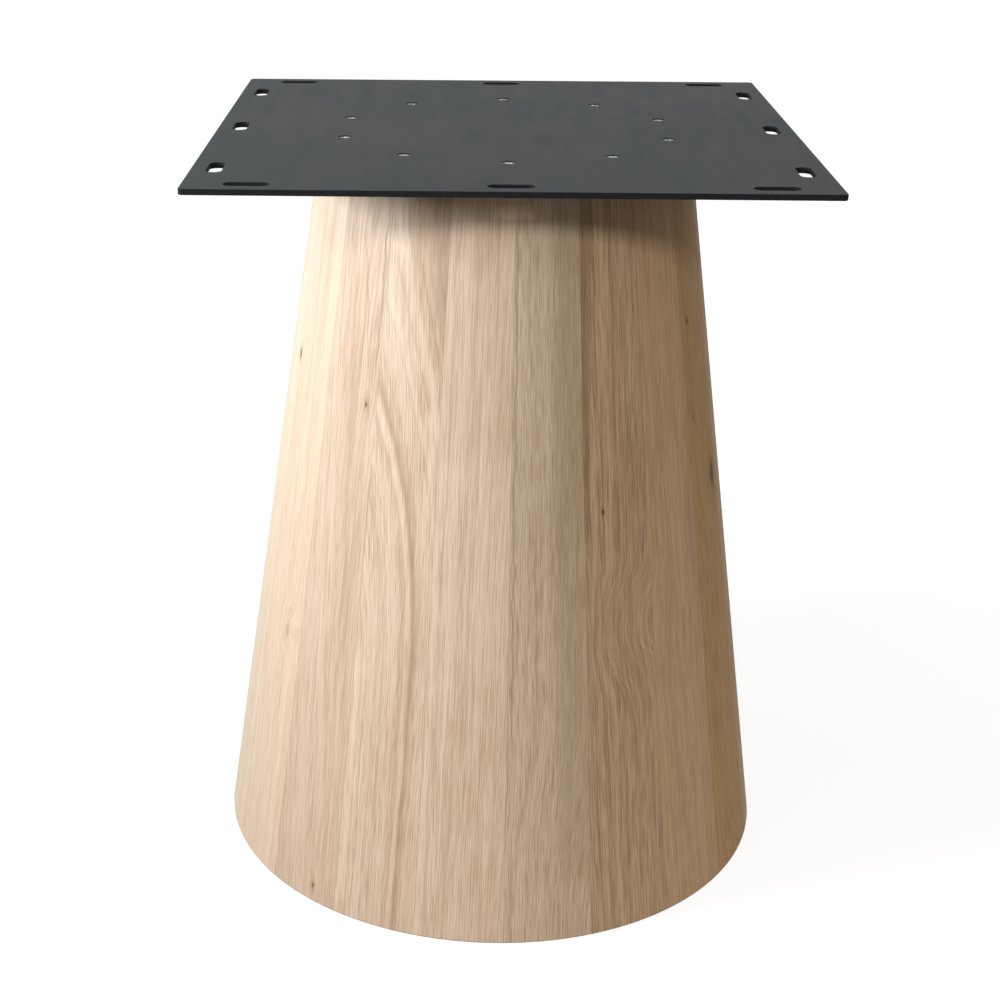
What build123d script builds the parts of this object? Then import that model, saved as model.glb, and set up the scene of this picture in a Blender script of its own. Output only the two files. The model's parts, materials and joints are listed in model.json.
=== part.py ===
from build123d import *
from math import atan, cos, tan
import os

# Conical table base: a hollow cone of glued oak staves under a square steel plate.
# The cone stands on the floor, centred on the origin, with its axis along +Z.
# The front is -Y. Angles round the cone are in degrees from the front, positive towards +X.
# All lengths are in millimetres.

# Whole base
height = 715.0               # floor to the plate's top face, where the table top rests

# Oak cone
base_radius = 280.0          # outside, at the floor
top_radius = 170.0           # outside, under the plate
wall = 34.0                  # thickness of a stave at its middle, square to the slope
stave_count = 20
stave_turn = 2.1             # degrees from the front to the nearest joint
foot_round = 2.0             # round on the outer edge at the floor

# Steel plate
plate_side = 530.0
plate_thickness = 5.0
plate_corner = 4.0           # radius of the four corners
plate_edge = 0.6             # round that the coating leaves on the rims of the plate and its slots

# Slots for the table top's screws, three along each side of the plate
slot_width = 13.0
slot_length = 38.0
slot_inset = 20.0            # edge of the plate to the slot's centre line
front_slot_inset = 53.0      # front and back rows: side edge to the outer slot's middle
side_slot_inset = 83.0       # side rows: front or back edge to the outer slot's middle

# Countersunk wood screws that hold the plate on the cone
screw_count = 10
screw_length = 60.0
screw_width = 5.0            # over the thread
head_width = 10.0
head_rim = 0.3               # straight edge above the head's cone
head_sink = 0.7              # top of the head below the plate's face
point_length = 7.0
screw_clearance = 0.25       # all round the shank in the plate
drive_width = 4.5            # six-lobe recess, across its lobes
drive_core = 3.2             # and across its hollows
drive_depth = 2.2

# Sizes that follow from those above
cone_height = height - plate_thickness
slope = atan((base_radius - top_radius) / cone_height)
wall_across = wall / cos(slope)
stave_angle = 360.0 / stave_count
screw_circle = top_radius - wall_across / 2
head_top = height - head_sink


def front_angle(degrees):
    """Turns an angle from the front into a rotation about +Z of something that points along +X."""
    return Rot(0, 0, degrees - 90)


def outside(level):
    """The cone's outer radius at a height above the floor."""
    return base_radius - level * tan(slope)


def turned_blank():
    """The section of the solid turned cone, from its axis to its outer face."""
    outline = make_face(Polyline(
        (0, 0),
        (base_radius, 0),
        (top_radius, cone_height),
        (0, cone_height),
        close=True,
    ))
    foot = outline.vertices().sort_by(Axis.X)[-1]
    return Plane.XZ * fillet(foot, foot_round)


def planed_core():
    """What is cut away behind a stave that points along +X: its inner face is planed flat."""
    low = -wall
    high = cone_height + wall
    outline = make_face(Polyline(
        (-wall, low),
        (outside(low) - wall_across, low),
        (outside(high) - wall_across, high),
        (-wall, high),
        close=True,
    ))
    return extrude(Plane.XZ * outline, base_radius, both=True)


def stave(index, screws):
    """One tapered stave, counted from the joint nearest the front, bored for any screw that meets it."""
    wedge = Rot(0, 0, -stave_angle / 2) * revolve(turned_blank(), Axis.Z, stave_angle)
    middle = stave_turn + (index + 0.5) * stave_angle
    return front_angle(middle) * (wedge - planed_core()) - screws


def screw_places():
    """Tops of the screws' heads: evenly round the middle of the cone's wall, the first at the front."""
    return [
        front_angle(360.0 * index / screw_count) * Pos(screw_circle, 0, head_top)
        for index in range(screw_count)
    ]


def screw_blank():
    """A screw along -Z with the top of its head at the origin, before its recess is formed."""
    neck = -head_rim - (head_width - screw_width) / 2
    outline = make_face(Polyline(
        (0, 0),
        (head_width / 2, 0),
        (head_width / 2, -head_rim),
        (screw_width / 2, neck),
        (screw_width / 2, point_length - screw_length),
        (0, -screw_length),
        close=True,
    ))
    return revolve(Plane.XZ * outline, Axis.Z)


def recess():
    """The six-lobe recess in a screw's head: a round core with a lobe at each sixth of a turn."""
    lobe = Circle((drive_width - drive_core) / 2)
    return extrude(Circle(drive_core / 2) + PolarLocations(drive_core / 2, 6) * lobe, -drive_depth)


def countersunk_hole():
    """A clearance hole along -Z, its 90 degree countersink open at the origin and seating a head."""
    bore = screw_width / 2 + screw_clearance
    mouth = head_width / 2 + head_rim + head_sink
    shaft = extrude(Circle(bore), -2 * plate_thickness)
    return shaft + Pos(0, 0, (bore - mouth) / 2) * Cone(bore, mouth, mouth - bore)


def slot_row(end_inset):
    """Three slots along the plate's front edge: one in the middle, and one near each end."""
    offset = plate_side / 2 - end_inset
    line = slot_inset - plate_side / 2
    return [Pos(x, line) * SlotOverall(slot_length, slot_width) for x in (-offset, 0, offset)]


def top_plate(places):
    """The square plate, with its slots and a countersunk hole for each screw."""
    outline = RectangleRounded(plate_side, plate_side, plate_corner)
    for quarter in range(4):
        end_inset = side_slot_inset if quarter % 2 else front_slot_inset
        outline -= [Rot(0, 0, 90 * quarter) * slot for slot in slot_row(end_inset)]
    blank = Pos(0, 0, cone_height) * extrude(outline, plate_thickness)
    faces = blank.faces().sort_by(Axis.Z)
    blank = fillet(faces[0].edges() + faces[-1].edges(), plate_edge)
    return blank - [place * Pos(0, 0, head_sink) * countersunk_hole() for place in places]


places = screw_places()
screws = [place * screw_blank() for place in places]
pieces = {"top_plate": top_plate(places)}
for index in range(stave_count):
    pieces[f"stave_{index + 1:02d}"] = stave(index, screws)
for index, place in enumerate(places):
    pieces[f"plate_screw_{index + 1:02d}"] = screws[index] - place * recess()

os.makedirs("parts", exist_ok=True)
for name, piece in pieces.items():
    export_step(piece, f"parts/{name}.step")
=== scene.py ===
import json
from math import atan2, cos, pi, radians, sin

import bpy
import numpy as np
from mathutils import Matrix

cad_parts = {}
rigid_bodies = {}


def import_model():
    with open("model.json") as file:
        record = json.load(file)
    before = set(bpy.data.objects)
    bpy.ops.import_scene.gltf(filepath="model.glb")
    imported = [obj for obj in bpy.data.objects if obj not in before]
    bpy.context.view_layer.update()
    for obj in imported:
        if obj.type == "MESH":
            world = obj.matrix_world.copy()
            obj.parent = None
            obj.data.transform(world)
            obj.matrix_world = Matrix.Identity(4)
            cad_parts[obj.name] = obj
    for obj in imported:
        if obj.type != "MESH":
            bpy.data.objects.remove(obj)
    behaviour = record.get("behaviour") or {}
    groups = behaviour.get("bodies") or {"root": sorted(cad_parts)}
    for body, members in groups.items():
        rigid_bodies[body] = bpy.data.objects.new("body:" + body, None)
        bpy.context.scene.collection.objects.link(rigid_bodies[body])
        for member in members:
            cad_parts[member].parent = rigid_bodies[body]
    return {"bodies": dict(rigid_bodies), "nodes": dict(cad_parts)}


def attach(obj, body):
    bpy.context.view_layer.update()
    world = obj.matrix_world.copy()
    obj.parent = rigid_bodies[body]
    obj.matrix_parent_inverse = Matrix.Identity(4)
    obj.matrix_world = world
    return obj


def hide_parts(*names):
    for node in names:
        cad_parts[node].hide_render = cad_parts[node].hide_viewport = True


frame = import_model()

# Objects that Blender starts with, and that are none of the solids
for spare in set(bpy.data.objects) - set(frame["nodes"].values()) - set(frame["bodies"].values()):
    bpy.data.objects.remove(spare)
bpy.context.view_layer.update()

# Oak staves
# Twenty tapered staves of solid European oak are glued edge to edge, turned round on the outside and
# sanded, and finished with a matt, nearly colourless oil. Every stave comes from another board, so each
# has its own tone and figure, and the joints show as steps between them.
STAVES = 20
FIRST_JOINT = 2.1                       # degrees from the front
BASE_RADIUS, TOP_RADIUS, CONE_HEIGHT = 280.0, 170.0, 710.0      # mm
SLOPE = atan2(BASE_RADIUS - TOP_RADIUS, CONE_HEIGHT)
FACE = BASE_RADIUS * cos(SLOPE)         # mm from the axis to a stave's face, square to the face
MM = 1000                               # in a metre
SMOOTH = {"interpolation_type": "SMOOTHSTEP"}      # for a range that eases in and out

# Marks in the wood, in mm across the grain and along it. Fibres, pores and vessels are about twice as
# coarse as the real ones, and the glue line, really 0.1, is wider still, so that they show in the render.
FIBRE = (0.42, 30)
STRAND = (1.3, 110)
PORE = (0.45, 24)
VESSEL = (0.9, 150)
CLOUD = (30, 260)
WAVE, RIPPLE = (42, 210), (8, 45)       # how the rings wander
SWIRL = (30, 30)                        # in a whorl
WANDER = (60, 28)                       # of a streak
GLUE_LINE = 0.35
RIPPLE_DEPTH = 1.4                      # mm that the ripple adds to the rings' distance
STIR = (0, 26, 40)                      # mm that a swirl carries the wood outward, across and up
FADE = 15                               # mm over which a streak's ends fade
APART = 911.0                           # mm between two staves in the noises
RELIEF = 0.00012                        # metres, of the fibres and pores

EARLY_END = 0.6                         # the share of a growth ring that is open-pored
UNEVENNESS = 2.4                        # rings, by which a slow noise shifts the spacing
SPACING_STEPS, TONE_STEPS = 0.31, 0.45  # of the noises in one ring

# How strongly each mark shows in the tone, which is 0 for the dark colour and 1 for the pale one
MEAN_TONE = 0.60
RING_WEIGHT, EARLY_WEIGHT, FIBRE_WEIGHT, STRAND_WEIGHT, CLOUD_WEIGHT = 1.5, -0.15, 3.6, 2.2, 1.0
GRIT_MEAN = 2.87                        # what fibres and strands add on average
PORE_DARKNESS, VESSEL_DARKNESS, GLUE_DARKNESS = 0.36, 0.8, 0.4

PORE_BROWN, RING_BROWN, GLUE_BROWN = "#8F7151", "#846647", "#77603F"
KNOT_HALO, KNOT_CORE = "#94714B", "#482F1F"
# The olive colour is a real stain on stave 1, and also that stave's painted shade below the plate
DARK_LINE, PALE_LINE, OLIVE_STAIN_AND_SHADE = "#6A5539", "#E6D6BC", "#8B8668"


def linear(code):
    """The linear colour of an sRGB hex code: each channel is undone by the sRGB curve."""
    channels = [int(code[i:i + 2], 16) / 255 for i in (1, 3, 5)]
    return tuple(c / 12.92 if c <= 0.04045 else ((c + 0.055) / 1.055) ** 2.4 for c in channels) + (1.0,)


def add(tree, kind, *values, **settings):
    """Adds a shader node and returns its output. The values go to its inputs in turn.
    A setting with a capital is the input of that name, and any other is a property of the node."""
    node = tree.nodes.new("ShaderNode" + kind)
    for name, value in settings.items():
        if name[0].islower():
            setattr(node, name, value)
    wanted = list(zip([s for s in node.inputs if s.enabled], values))
    wanted += [(node.inputs[n.replace("_", " ")], v) for n, v in settings.items() if n[0].isupper()]
    for socket, value in wanted:
        if isinstance(value, bpy.types.NodeSocket):
            tree.links.new(value, socket)
        else:
            socket.default_value = value
    return next(s for s in node.outputs if s.enabled)


def material(name):
    """A new empty node material, with the output that its shader is linked to."""
    made = bpy.data.materials.new(name)
    made.use_nodes = True
    made.node_tree.nodes.clear()
    return made, made.node_tree, made.node_tree.nodes.new("ShaderNodeOutputMaterial").inputs["Surface"]


def stretched(size):
    """The factors that shrink a mark's size, in mm across the grain and along it, to one unit of noise."""
    across, along = size
    return 1 / across, 1 / across, 1 / along


def oak(index, pale, dark, pith, ring, rise=(0, 0, 1), drift=0.0, wave=4.0, figure=1.0, grit=1.0,
        knots=(), whorls=(), bands=(), streaks_and_painted_shade=()):
    """Oiled oak for one stave: growth rings are surfaces at equal distances from the log's pith.
    The oil leaves it matt, and the open pores dark and rougher.

    pith is how far the pith lies behind the stave's face and to its right, rise adds depth to it between
    two heights, drift carries it sideways per mm of height, and wave is how far the rings wander.
    figure and grit are how strongly the rings and the short fibres show.
    A knot has its place across and up, its radius and how dark it is, and pushes the rings aside, and a
    whorl has its place, reach and push. A band is a dark ring, with its distance from the pith, half its
    width and its strength. A streak has its places across at its two ends, the ends' heights, half its
    width, its strength, how many mm it wanders, and its colour. A wide dark streak at a stave's top is
    painted shade, the soft edge of the plate's shadow. All lengths are in mm.
    """
    made, tree, surface = material(f"oiled_oak_{index + 1:02d}")
    turn = radians(FIRST_JOINT + (index + 0.5) * 360 / STAVES - 90)
    position = add(tree, "TexCoord").node.outputs["Object"]
    turned = add(tree, "Mapping", position, Rotation=(0, 0, -turn), Scale=(MM, MM, MM))
    board = add(tree, "Mapping", turned, Rotation=(0, SLOPE, 0),
                Location=(-FACE, 0, BASE_RADIUS * sin(SLOPE)))
    split = add(tree, "SeparateXYZ", board).node.outputs
    outward, across, up = split["X"], split["Y"], split["Z"]
    # Each stave reads the noises from a place of its own, so that no two boards are alike
    apart = add(tree, "VectorMath", board, (0, 0, index * APART), operation="ADD")

    # The distance from the pith, with the rings' own waviness
    depth = add(tree, "MapRange", up, rise[1], rise[2], pith[0], pith[0] + rise[0], **SMOOTH)
    depth = add(tree, "Math", depth, outward, operation="ADD")
    aside = add(tree, "Math", up, -drift, -pith[1], operation="MULTIPLY_ADD")
    aside = add(tree, "Math", aside, across, operation="ADD")
    from_pith = add(tree, "CombineXYZ", depth, aside, 0.0)
    distance = add(tree, "VectorMath", from_pith, operation="LENGTH").node.outputs["Value"]
    slow = add(tree, "VectorMath", apart, stretched(WAVE), operation="MULTIPLY")
    slow = add(tree, "TexNoise", slow, Scale=1.0, Detail=3.0)
    quick = add(tree, "VectorMath", apart, stretched(RIPPLE), operation="MULTIPLY")
    quick = add(tree, "TexNoise", quick, Scale=1.0, Detail=2.0)
    distance = add(tree, "Math", slow, 2 * wave, distance, operation="MULTIPLY_ADD")
    distance = add(tree, "Math", quick, RIPPLE_DEPTH, distance, operation="MULTIPLY_ADD")

    marks = []
    for knot_across, knot_up, radius, darkness in knots:
        away = add(tree, "VectorMath", board, (0, knot_across, knot_up), operation="SUBTRACT")
        away = add(tree, "VectorMath", away, (0, 1 / radius, 0.5 / radius), operation="MULTIPLY")
        away = add(tree, "VectorMath", away, operation="LENGTH").node.outputs["Value"]
        bulge = add(tree, "MapRange", away, 0.4, 5.0, 2.0 * radius, 0, **SMOOTH)
        distance = add(tree, "Math", distance, bulge, operation="ADD")
        marks.append((away, darkness))
    for whorl_across, whorl_up, whorl_reach, push in whorls:
        stir = add(tree, "VectorMath", apart, stretched(SWIRL), operation="MULTIPLY")
        stir = add(tree, "TexNoise", stir, Scale=1.0, Detail=2.0).node.outputs["Color"]
        stirred = add(tree, "VectorMath", stir, STIR, board, operation="MULTIPLY_ADD")
        centre = (0, whorl_across + STIR[1] / 2, whorl_up + STIR[2] / 2)
        away = add(tree, "VectorMath", stirred, centre, operation="DISTANCE").node.outputs["Value"]
        bulge = add(tree, "MapRange", away, 0, whorl_reach, push, 0, **SMOOTH)
        distance = add(tree, "Math", distance, bulge, operation="ADD")

    # Rings of uneven width: an open-pored early part, then a denser late part. W counts rings.
    phase = add(tree, "Math", distance, ring, operation="DIVIDE")
    uneven = add(tree, "TexNoise", noise_dimensions="1D", W=phase, Scale=SPACING_STEPS, Detail=1.0)
    phase = add(tree, "Math", uneven, UNEVENNESS, phase, operation="MULTIPLY_ADD")
    part = add(tree, "Math", phase, operation="FRACT")
    early = add(tree, "MapRange", part, 0.0, EARLY_END, 1.0, 0.0, **SMOOTH)
    band = add(tree, "TexNoise", noise_dimensions="1D", W=phase, Scale=TONE_STEPS, Detail=3.0, Roughness=0.6)

    # Fibres and pores follow the rings, and crowd in their early part
    grain = add(tree, "Math", across, -1.0 if pith[1] > 0 else 1.0, operation="MULTIPLY")
    grain = add(tree, "Math", distance, 0.5, grain, operation="MULTIPLY_ADD")
    grain = add(tree, "CombineXYZ", grain, index * 7.0, up)
    fibre = add(tree, "VectorMath", grain, stretched(FIBRE), operation="MULTIPLY")
    fibre = add(tree, "TexNoise", fibre, Scale=1.0, Detail=1.5)
    strand = add(tree, "VectorMath", grain, stretched(STRAND), operation="MULTIPLY")
    strand = add(tree, "TexNoise", strand, Scale=1.0, Detail=3.0, Roughness=0.6)
    pores = add(tree, "VectorMath", grain, stretched(PORE), operation="MULTIPLY")
    pores = add(tree, "TexNoise", pores, Scale=1.0, Detail=1.0)
    pores = add(tree, "MapRange", pores, 0.56, 0.70, **SMOOTH)
    crowded = add(tree, "MapRange", part, 0.0, EARLY_END, 1.0, 0.35, **SMOOTH)
    pores = add(tree, "Math", pores, crowded, operation="MULTIPLY")
    vessels = add(tree, "VectorMath", grain, stretched(VESSEL), operation="MULTIPLY")
    vessels = add(tree, "TexNoise", vessels, Scale=1.0, Detail=1.0)
    vessels = add(tree, "MapRange", vessels, 0.60, 0.72, 0.0, VESSEL_DARKNESS, **SMOOTH)
    pores = add(tree, "Math", pores, vessels, operation="MAXIMUM")
    cloud = add(tree, "VectorMath", apart, stretched(CLOUD), operation="MULTIPLY")
    cloud = add(tree, "TexNoise", cloud, Scale=1.0, Detail=2.0)

    # Each mark adds its weight to the tone, from dark to pale, and what they add on average is taken off
    tone = MEAN_TONE - RING_WEIGHT * figure / 2
    for mark, weight in ((band, RING_WEIGHT * figure), (early, EARLY_WEIGHT * figure),
                         (fibre, FIBRE_WEIGHT * grit), (strand, STRAND_WEIGHT * grit), (cloud, CLOUD_WEIGHT)):
        tone = add(tree, "Math", mark, weight, tone, operation="MULTIPLY_ADD")
    average = GRIT_MEAN * grit + CLOUD_WEIGHT / 2
    tone = add(tree, "Math", tone, average, operation="SUBTRACT", use_clamp=True)
    colour = add(tree, "Mix", tone, linear(dark), linear(pale), data_type="RGBA")
    porous = add(tree, "Math", pores, PORE_DARKNESS, operation="MULTIPLY")
    colour = add(tree, "Mix", porous, colour, linear(PORE_BROWN), data_type="RGBA")

    # Marks of this board alone: dark rings, streaks, painted shade below the plate, and knots
    for band_distance, width, strength in bands:
        off = add(tree, "Math", distance, band_distance, operation="SUBTRACT")
        off = add(tree, "Math", off, operation="ABSOLUTE")
        strip = add(tree, "MapRange", off, 0, width, strength, 0.0, **SMOOTH)
        colour = add(tree, "Mix", strip, colour, linear(RING_BROWN), data_type="RGBA")

    for low_across, high_across, low, high, width, strength, wandering, streak_colour in streaks_and_painted_shade:
        line = add(tree, "MapRange", up, From_Min=low, From_Max=high, To_Min=low_across, To_Max=high_across,
                   clamp=False)
        wander = add(tree, "VectorMath", apart, stretched(WANDER), operation="MULTIPLY")
        wander = add(tree, "TexNoise", wander, Scale=1.0, Detail=2.0)
        wander = add(tree, "Math", wander, 2 * wandering, -wandering, operation="MULTIPLY_ADD")
        off = add(tree, "Math", across, line, operation="SUBTRACT")
        off = add(tree, "Math", off, wander, operation="ADD")
        off = add(tree, "Math", off, operation="ABSOLUTE")
        strip = add(tree, "MapRange", off, 0.4 * width, width, strength, 0.0, **SMOOTH)
        start = add(tree, "MapRange", up, low - FADE, low + FADE, **SMOOTH)
        end = add(tree, "MapRange", up, high - FADE, high + FADE, 1.0, 0.0, **SMOOTH)
        strip = add(tree, "Math", strip, start, operation="MULTIPLY")
        strip = add(tree, "Math", strip, end, operation="MULTIPLY")
        colour = add(tree, "Mix", strip, colour, linear(streak_colour), data_type="RGBA")

    for away, darkness in marks:
        if darkness:
            ragged = add(tree, "Math", quick, 1.2, away, operation="MULTIPLY_ADD")
            halo = add(tree, "MapRange", ragged, 1.2, 4.0, 0.5 * darkness, 0.0, **SMOOTH)
            colour = add(tree, "Mix", halo, colour, linear(KNOT_HALO), data_type="RGBA")
            core = add(tree, "MapRange", ragged, 0.9, 1.9, darkness, 0.0, **SMOOTH)
            colour = add(tree, "Mix", core, colour, linear(KNOT_CORE), data_type="RGBA")

    # The glue line along both sides
    half = radians(180 / STAVES)
    sides = add(tree, "SeparateXYZ", turned).node.outputs
    reach = add(tree, "Math", sides["Y"], operation="ABSOLUTE")
    reach = add(tree, "Math", reach, -cos(half), operation="MULTIPLY")
    reach = add(tree, "Math", sides["X"], sin(half), reach, operation="MULTIPLY_ADD")
    glue = add(tree, "MapRange", reach, 0.3 * GLUE_LINE, GLUE_LINE, GLUE_DARKNESS, 0.0, **SMOOTH)
    colour = add(tree, "Mix", glue, colour, linear(GLUE_BROWN), data_type="RGBA")

    relief = add(tree, "Math", pores, -1.0, fibre, operation="MULTIPLY_ADD")
    bump = add(tree, "Bump", Strength=0.25, Distance=RELIEF, Height=relief)
    rough = add(tree, "Math", pores, 0.15, 0.60, operation="MULTIPLY_ADD")
    shader = add(tree, "BsdfPrincipled", Base_Color=colour, Roughness=rough, Normal=bump, IOR=1.46,
                 Specular_IOR_Level=0.15)
    tree.links.new(shader, surface)
    return made


# Stave 1 begins just right of the front, and they go round to the right. The figure of staves 1 to 4 and
# 16 to 20 follows the photograph, and that of the others is made up in the same manner.
BOARDS = [
    # Stave 1: its wide olive streak over the upper part is painted shade, the soft edge of the plate's shadow
    dict(pale="#C8BAA7", dark="#A28F7A", pith=(20, 60), rise=(50, 0, 230), ring=3.4, wave=5, figure=0.6,
         grit=2.0, streaks_and_painted_shade=[(-35, -25.5, 205, 670, 1.3, 0.35, 4, DARK_LINE),
                             (31, 22, 60, 690, 26, 0.34, 3, OLIVE_STAIN_AND_SHADE),
                             (12, 12, 390, 730, 70, 0.14, 3, OLIVE_STAIN_AND_SHADE)]),
    dict(pale="#BEAA90", dark="#937D65", pith=(40, -90), ring=3.0, wave=9, figure=1.4, grit=1.6,
         knots=[(-15, 419, 1.4, 0.9)], whorls=[(26, 305, 85, 32)],
         streaks_and_painted_shade=[(-34.5, -20.5, 400, 700, 7.5, 0.45, 0.5, DARK_LINE)]),
    dict(pale="#C2AB8E", dark="#A68D70", pith=(12, 160), ring=5.0, wave=3, figure=0.7, grit=1.7,
         streaks_and_painted_shade=[(13, 8, 40, 470, 5, 0.10, 2, PALE_LINE)]),
    dict(pale="#B99D74", dark="#9A7F59", pith=(60, 40), ring=3.4, wave=4, figure=0.9, grit=2.4,
         knots=[(-18, 569, 2.6, 0.7), (-20, 478, 2.4, 0.55), (19, 410, 7.5, 0.9)]),
    dict(pale="#C3A98C", dark="#A18565", pith=(25, 110), ring=3.0, drift=0.03),
    dict(pale="#C8AF91", dark="#A88D6E", pith=(15, -120), ring=3.6, figure=0.7),
    dict(pale="#BFA788", dark="#967B5D", pith=(10, -50), rise=(90, 150, 700), ring=4.6, wave=6,
         bands=[(95, 3.5, 0.3)]),
    dict(pale="#CBB395", dark="#AE9475", pith=(70, 15), ring=2.8, drift=-0.04, knots=[(-9, 300, 1.8, 0.8)]),
    dict(pale="#C2AB8D", dark="#A48A69", pith=(12, 140), ring=4.0, wave=3, figure=0.6),
    dict(pale="#C6AC8C", dark="#9F8464", pith=(30, 65), rise=(60, 40, 420), ring=3.6, wave=6, grit=1.2),
    dict(pale="#BCA485", dark="#9A8060", pith=(80, -25), ring=2.9, drift=0.05, figure=0.8,
         whorls=[(-12, 430, 60, 28)]),
    dict(pale="#CAB294", dark="#AC9171", pith=(14, -150), ring=3.2, figure=0.7),
    dict(pale="#C0A88A", dark="#A08566", pith=(8, 55), rise=(80, 700, 180), ring=5.0, wave=6),
    dict(pale="#C9B092", dark="#A88D6D", pith=(55, -60), ring=3.0, knots=[(17, 610, 1.5, 0.8)]),
    dict(pale="#C4AD8F", dark="#A68D6D", pith=(20, 130), ring=3.8, wave=3, figure=0.6),
    dict(pale="#CFBDA7", dark="#BBA68C", pith=(40, -80), ring=3.2, wave=5, figure=0.6,
         knots=[(29, 524, 2.6, 0.85)]),
    dict(pale="#CDB8A2", dark="#B8A086", pith=(40, -75), rise=(40, 80, 520), ring=4.0, wave=6, figure=0.6,
         knots=[(13, 260, 4.0, 0.25)], whorls=[(13, 262, 40, 22)]),
    dict(pale="#C6B09C", dark="#AA927B", pith=(45, 75), ring=4.6, drift=-0.12, wave=5, figure=0.7,
         knots=[(20, 507, 1.5, 0.9), (15, 18, 1.6, 0.7)],
         streaks_and_painted_shade=[(27, 23, 535, 675, 1.3, 0.35, 5, DARK_LINE), (29, 0, 475, 655, 1.1, 0.22, 5, DARK_LINE)]),
    dict(pale="#CEBCA8", dark="#A8917A", pith=(8, -63), rise=(100, 200, 700), ring=5.4, wave=4, figure=1.2,
         grit=1.2, bands=[(90, 4.0, 0.5), (82, 2.5, 0.3), (131, 13.0, 0.3)],
         streaks_and_painted_shade=[(-36, -33, 20, 280, 6, 0.25, 1, PALE_LINE), (47, 17, 555, 740, 24, 0.42, 4, "#85705F")]),
    # Stave 20: its wide brown streak over the upper part is painted shade, the soft edge of the plate's
    # shadow
    dict(pale="#CEBDAB", dark="#B09B85", pith=(12, -140), ring=3.6, drift=0.02, wave=3, figure=0.8,
         grit=1.3, streaks_and_painted_shade=[(10, 7, 260, 560, 5, 0.12, 2, PALE_LINE),
                            (0, 0, 470, 730, 80, 0.12, 3, "#8F7B60")]),
]
for index, board in enumerate(BOARDS):
    node = frame["nodes"][f"stave_{index + 1:02d}"]
    node.data.materials.clear()
    node.data.materials.append(oak(index, **board))

# Top plate
# A 5 mm steel plate, cut by laser with its slots for the table top's bolts and coated in matt black
# powder. The coat's faint orange peel and the smudges of handling show where light grazes the top. The
# cut edges, slot walls and countersinks are rougher, and their colour is darkened as painted shade.
CLOUDINESS, CAST, PEEL = 250, 333, 1.6  # mm across, of the smudges, the tint and the orange peel
WIPE = (16.7, 83.3)                     # mm across and along a wipe of the cloth
POWDER_BLACK, POWDER_GREEN = "#15191A", "#0D1614"
# The edge colour is painted shade, for the cut edges, slot walls and countersinks
POWDER_SMUDGE, POWDER_EDGE_PAINTED_SHADE = "#252C2D", "#06090C"
EDGE_ROUGHNESS = 0.75
powder, tree, surface = material("black_powder_coat")
position = add(tree, "TexCoord").node.outputs["Object"]
cloudy = add(tree, "TexNoise", position, Scale=MM / CLOUDINESS, Detail=4.0, Roughness=0.6, Distortion=0.5)
wiped = add(tree, "Mapping", position, Rotation=(0, 0, 0.5), Scale=(MM / WIPE[0], MM / WIPE[1], 1))
wiped = add(tree, "TexNoise", wiped, Scale=1.0, Detail=4.0, Roughness=0.65)
smudge = add(tree, "Math", cloudy, wiped, operation="ADD")

# The flat faces against the edges, slot walls and countersinks, which are rougher and painted darker as shade
normal = add(tree, "NewGeometry").node.outputs["Normal"]
facing = add(tree, "SeparateXYZ", normal).node.outputs["Z"]
facing = add(tree, "Math", facing, operation="ABSOLUTE")
flat = add(tree, "MapRange", facing, 0.72, 0.97, **SMOOTH)
rough = add(tree, "MapRange", smudge, 0.75, 1.3, 0.52, 0.62, **SMOOTH)
rough = add(tree, "Mix", flat, EDGE_ROUGHNESS, rough)
cast = add(tree, "TexNoise", position, Scale=MM / CAST, Detail=3.0, Distortion=0.4)
cast = add(tree, "MapRange", cast, 0.40, 0.60, **SMOOTH)
colour = add(tree, "Mix", cast, linear(POWDER_GREEN), linear(POWDER_BLACK), data_type="RGBA")
handled = add(tree, "MapRange", smudge, 0.75, 1.3, **SMOOTH)
colour = add(tree, "Mix", handled, colour, linear(POWDER_SMUDGE), data_type="RGBA")
# Painted shade: the edges, slot walls and countersinks are coloured near black
colour = add(tree, "Mix", flat, linear(POWDER_EDGE_PAINTED_SHADE), colour, data_type="RGBA")
peel = add(tree, "TexNoise", position, Scale=MM / PEEL, Detail=1.0)
bump = add(tree, "Bump", Strength=0.18, Distance=0.00008, Height=peel)
shader = add(tree, "BsdfPrincipled", Base_Color=colour, Roughness=rough, IOR=1.5, Specular_IOR_Level=0.165,
             Normal=bump)
tree.links.new(shader, surface)
plate = frame["nodes"]["top_plate"]
plate.data.materials.clear()
plate.data.materials.append(powder)

# Plate screws
# Ten zinc-plated wood screws with countersunk heads and six-lobe drives hold the plate to the staves'
# ends. Each has a plain neck under its head, then a cut thread, and a point.
SCREWS = 10
HEAD_TOP, SCREW_LENGTH = 714.3, 60.0    # mm above the floor, and mm from there down
HEAD_RADIUS, HEAD_RIM, HEAD_BEVEL = 5.0, 0.3, 0.1
DRIVE_OUTER, DRIVE_INNER, DRIVE_DEPTH = 2.25, 1.6, 2.2
NECK, NECK_RADIUS = 20.0, 1.9           # mm from the head's top to the thread
CORE_RADIUS, THREAD_RADIUS, PITCH = 1.7, 2.5, 2.6
FLANK = 3.2                             # how steep the thread's ridge is
RUN_OUT, POINT = 3.0, 7.0               # mm over which the thread rises, and the point narrows
TIP_RADIUS = 0.02
ROW_STEP, AROUND = 0.2, 72              # mm between the thread's rows, and points in a row
TURN_APART = 0.9                        # radians between two screws' drives, which point any way


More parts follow.
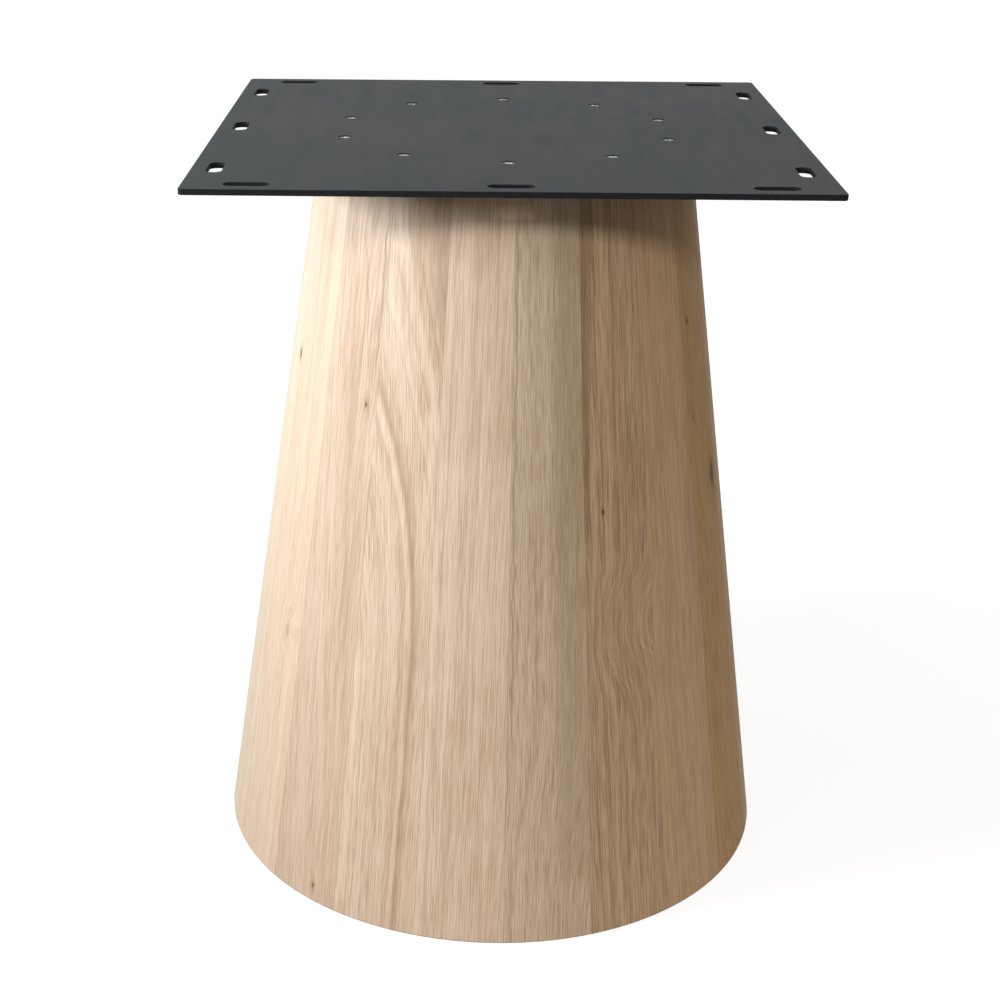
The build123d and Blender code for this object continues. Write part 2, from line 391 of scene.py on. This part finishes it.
def screw_mesh(name, place, turned_by):
    """A closed screw, whose radius is a function of the row, from recess to tip, and of the angle.

    Recess: the radius swings between hollows and lobes with the cosine of six times the angle.
    Thread: radius = core + (crest - core) * clip(1 - flank * |f - 1/2|), where f is the fraction of
    height / pitch - angle / 2 pi, so that the ridge climbs a pitch in a turn.
    """
    angle = np.linspace(0, 2 * pi, AROUND, endpoint=False)
    lobed = DRIVE_INNER + (DRIVE_OUTER - DRIVE_INNER) * (0.5 + 0.5 * np.cos(6 * angle)) ** 1.3
    drive_floor = HEAD_TOP - DRIVE_DEPTH
    neck_top = HEAD_TOP - HEAD_RIM - (HEAD_RADIUS - NECK_RADIUS)
    tip = HEAD_TOP - SCREW_LENGTH
    head = [
        (0.02 * lobed, drive_floor - 0.5),
        (0.5 * lobed, drive_floor - 0.3),
        (0.96 * lobed, drive_floor),
        (0.99 * lobed, drive_floor + 0.15),
        (lobed, HEAD_TOP - 0.12),
        (lobed + 0.1, HEAD_TOP),
        (3.2, HEAD_TOP),
        (4.0, HEAD_TOP),
        (HEAD_RADIUS - 0.12, HEAD_TOP),
        (HEAD_RADIUS, HEAD_TOP - HEAD_BEVEL),
        (HEAD_RADIUS, HEAD_TOP - HEAD_RIM),
        (NECK_RADIUS, neck_top),
        (NECK_RADIUS - 0.1, neck_top - 0.5),
    ]
    level = np.arange(HEAD_TOP - NECK, tip, -ROW_STEP)[:, None]
    turns = (level / PITCH - angle / (2 * pi)) % 1.0
    ridge = np.clip(1 - FLANK * np.abs(turns - 0.5), 0, 1)
    ridge *= np.clip((HEAD_TOP - NECK - level) / RUN_OUT, 0, 1)
    narrowing = np.clip((level - tip) / POINT, 0, 1) ** 0.8
    thread = (CORE_RADIUS + (THREAD_RADIUS - CORE_RADIUS) * ridge) * narrowing

    head_radius = np.stack([np.broadcast_to(row[0], AROUND) for row in head])
    radius = np.concatenate([head_radius, thread, np.full((1, AROUND), TIP_RADIUS)])
    height = np.concatenate([[row[1] for row in head], level[:, 0], [tip]])[:, None]
    east = place[0] + radius * np.cos(angle + turned_by)
    north = place[1] + radius * np.sin(angle + turned_by)
    points = np.stack([east, north, np.broadcast_to(height, radius.shape)], -1)
    count = len(radius)
    row_start = np.arange(count - 1)[:, None] * AROUND
    first = row_start + np.arange(AROUND)
    nearby = row_start + (np.arange(AROUND) + 1) % AROUND
    quads = np.stack([first, first + AROUND, nearby + AROUND, nearby], -1).reshape(-1, 4)
    caps = [list(range(AROUND)), list(range((count - 1) * AROUND, count * AROUND))[::-1]]
    mesh = bpy.data.meshes.new(name)
    mesh.from_pydata((points.reshape(-1, 3) / MM).tolist(), [], quads.tolist() + caps)
    mesh.polygons.foreach_set("use_smooth", [True] * len(mesh.polygons))
    mesh.set_sharp_from_angle(angle=radians(35))
    mesh.update()
    return mesh


# Zinc plating is a pale grey, half-glossy metal, dulled in patches a couple of millimetres across
ZINC_DULL, ZINC_BRIGHT = "#5F5D57", "#C2C0BA"
ZINC_PATCH = 2.0                        # mm
zinc, tree, surface = material("zinc_plated_steel")
position = add(tree, "TexCoord").node.outputs["Object"]
stains = add(tree, "TexNoise", position, Scale=MM / ZINC_PATCH, Detail=3.0)
colour = add(tree, "Mix", stains, linear(ZINC_DULL), linear(ZINC_BRIGHT), data_type="RGBA")
rough = add(tree, "MapRange", stains, 0.3, 0.7, 0.22, 0.38, **SMOOTH)
shader = add(tree, "BsdfPrincipled", Base_Color=colour, Metallic=1.0, Roughness=rough)
tree.links.new(shader, surface)
for index in range(SCREWS):
    solid = frame["nodes"][f"plate_screw_{index + 1:02d}"]
    place = np.mean(solid.bound_box, axis=0) * MM
    name = f"wood_screw_{index + 1:02d}"
    screw = bpy.data.objects.new(name, screw_mesh(name, place, TURN_APART * index))
    bpy.context.scene.collection.objects.link(screw)
    screw.data.materials.append(zinc)
    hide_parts(f"plate_screw_{index + 1:02d}")
    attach(screw, "root")

# Floor
# A seamless pale studio floor that the base stands on. The camera and shiny things see it white, with
# the base's soft shadow, and it sends grey light up to the base.
FLOOR_REACH = 20.0                      # metres
FLOOR_GREY, FLOOR_SEEN, WHITE = "#8C8A86", "#858A8F", "#FFFFFF"
corners = [(x * FLOOR_REACH, y * FLOOR_REACH, 0.0) for x, y in ((-1, -1), (1, -1), (1, 1), (-1, 1))]
mesh = bpy.data.meshes.new("floor")
mesh.from_pydata(corners, [], [(0, 1, 2, 3)])
floor = bpy.data.objects.new("floor", mesh)
bpy.context.scene.collection.objects.link(floor)
white, tree, surface = material("white_floor")
diffuse = add(tree, "BsdfDiffuse", Color=linear(FLOOR_GREY))
pale_diffuse = add(tree, "BsdfDiffuse", Color=linear(FLOOR_SEEN))
position = add(tree, "TexCoord").node.outputs["Object"]
away = add(tree, "VectorMath", position, operation="LENGTH").node.outputs["Value"]
# It glows a little less near the base, where the soft shadow lies
strength = add(tree, "MapRange", away, 0.4, 1.3, 0.84, 0.92, **SMOOTH)
glow = add(tree, "Emission", Color=linear(WHITE), Strength=strength)
paths = add(tree, "LightPath").node.outputs
seen = add(tree, "Math", paths["Is Camera Ray"], paths["Is Glossy Ray"], operation="MAXIMUM")
seen = add(tree, "Math", seen, paths["Is Transmission Ray"], operation="MAXIMUM")
lit = add(tree, "AddShader", pale_diffuse, glow)
tree.links.new(add(tree, "MixShader", seen, diffuse, lit), surface)
floor.data.materials.append(white)


# Light
# A window to the left and a little in front, just above the plate, does most of the work. A warm lamp in
# front opens the shadows, a low one to the right does so for the foot, and a cool one behind to the left
# lights the side that the camera barely sees.
def softbox(name, azimuth, height, distance, aim, width, tall, watts, tint, spread=180):
    """A rectangular lamp that looks at the height aim on the base's axis, with its sizes in metres.
    Azimuth is 0 in front of the base, and grows to the right, in degrees."""
    data = bpy.data.lights.new(name, "AREA")
    data.shape = "RECTANGLE"
    data.size, data.size_y = width, tall
    data.energy = watts
    data.color = linear(tint)[:3]
    data.spread = radians(spread)
    lamp = bpy.data.objects.new(name, data)
    turn = radians(azimuth)
    lamp.location = (distance * sin(turn), -distance * cos(turn), height)
    lamp.rotation_euler = (radians(90) - atan2(height - aim, distance), 0, turn)
    bpy.context.scene.collection.objects.link(lamp)


softbox("window", azimuth=-66, height=0.975, distance=1.45, aim=0.8, width=0.45, tall=0.28,
        watts=21.6, tint="#EDF6FF", spread=150)
softbox("room", azimuth=-4, height=1.70, distance=2.20, aim=0.5, width=0.28, tall=0.28,
        watts=24.4, tint="#FFF1E2")
softbox("bounce", azimuth=26, height=0.15, distance=1.60, aim=-0.15, width=1.2, tall=0.20,
        watts=0.35, tint="#FFECD8", spread=50)
softbox("back_window", azimuth=-112, height=1.05, distance=1.00, aim=0.72, width=0.50, tall=0.30,
        watts=3.7, tint="#C8DBFF")

# The room gives a weak warm light from all round, and is white where the camera sees it
ROOM_TINT, ROOM_STRENGTH = "#FFEDDD", 0.42
world = bpy.data.worlds.new("studio")
bpy.context.scene.world = world
world.use_nodes = True
tree = world.node_tree
tree.nodes.clear()
paths = add(tree, "LightPath").node.outputs
seen = add(tree, "Math", paths["Is Camera Ray"], paths["Is Glossy Ray"], operation="MAXIMUM")
seen = add(tree, "Math", seen, paths["Is Transmission Ray"], operation="MAXIMUM")
ambient = add(tree, "Background", Color=linear(ROOM_TINT), Strength=ROOM_STRENGTH)
backdrop = add(tree, "Background", Color=linear(WHITE), Strength=1.0)
mixed = add(tree, "MixShader", seen, ambient, backdrop)
tree.links.new(mixed, tree.nodes.new("ShaderNodeOutputWorld").inputs["Surface"])

# Camera
# The base is seen from in front and a little to the left, 1.65 m from its axis and about a metre up, by a
# camera held at waist height. The picture is a crop of a wider one, so the lens is off its middle.
IMAGE_SIDE = 1000                       # pixels
FOCAL_PIXELS = 1753.8
OPTICAL_CENTRE = (417.9, 606.4)         # pixels from the left and from the top
EYE = (-0.0390, -1.6526, 1.0232)        # metres from the middle of the foot
TILT, ROLL, TURN = 64.159, -0.182, 1.488        # degrees: up from straight down, sideways, to the left
SENSOR = 36.0                           # mm
camera_data = bpy.data.cameras.new("camera")
camera_data.sensor_width = SENSOR
camera_data.lens = FOCAL_PIXELS / IMAGE_SIDE * SENSOR
camera_data.shift_x = 0.5 - OPTICAL_CENTRE[0] / IMAGE_SIDE
camera_data.shift_y = OPTICAL_CENTRE[1] / IMAGE_SIDE - 0.5
camera = bpy.data.objects.new("camera", camera_data)
camera.location = EYE
camera.rotation_euler = (radians(TILT), radians(ROLL), radians(TURN))
bpy.context.scene.collection.objects.link(camera)
bpy.context.scene.camera = camera
bpy.context.scene.view_settings.view_transform = "Standard"
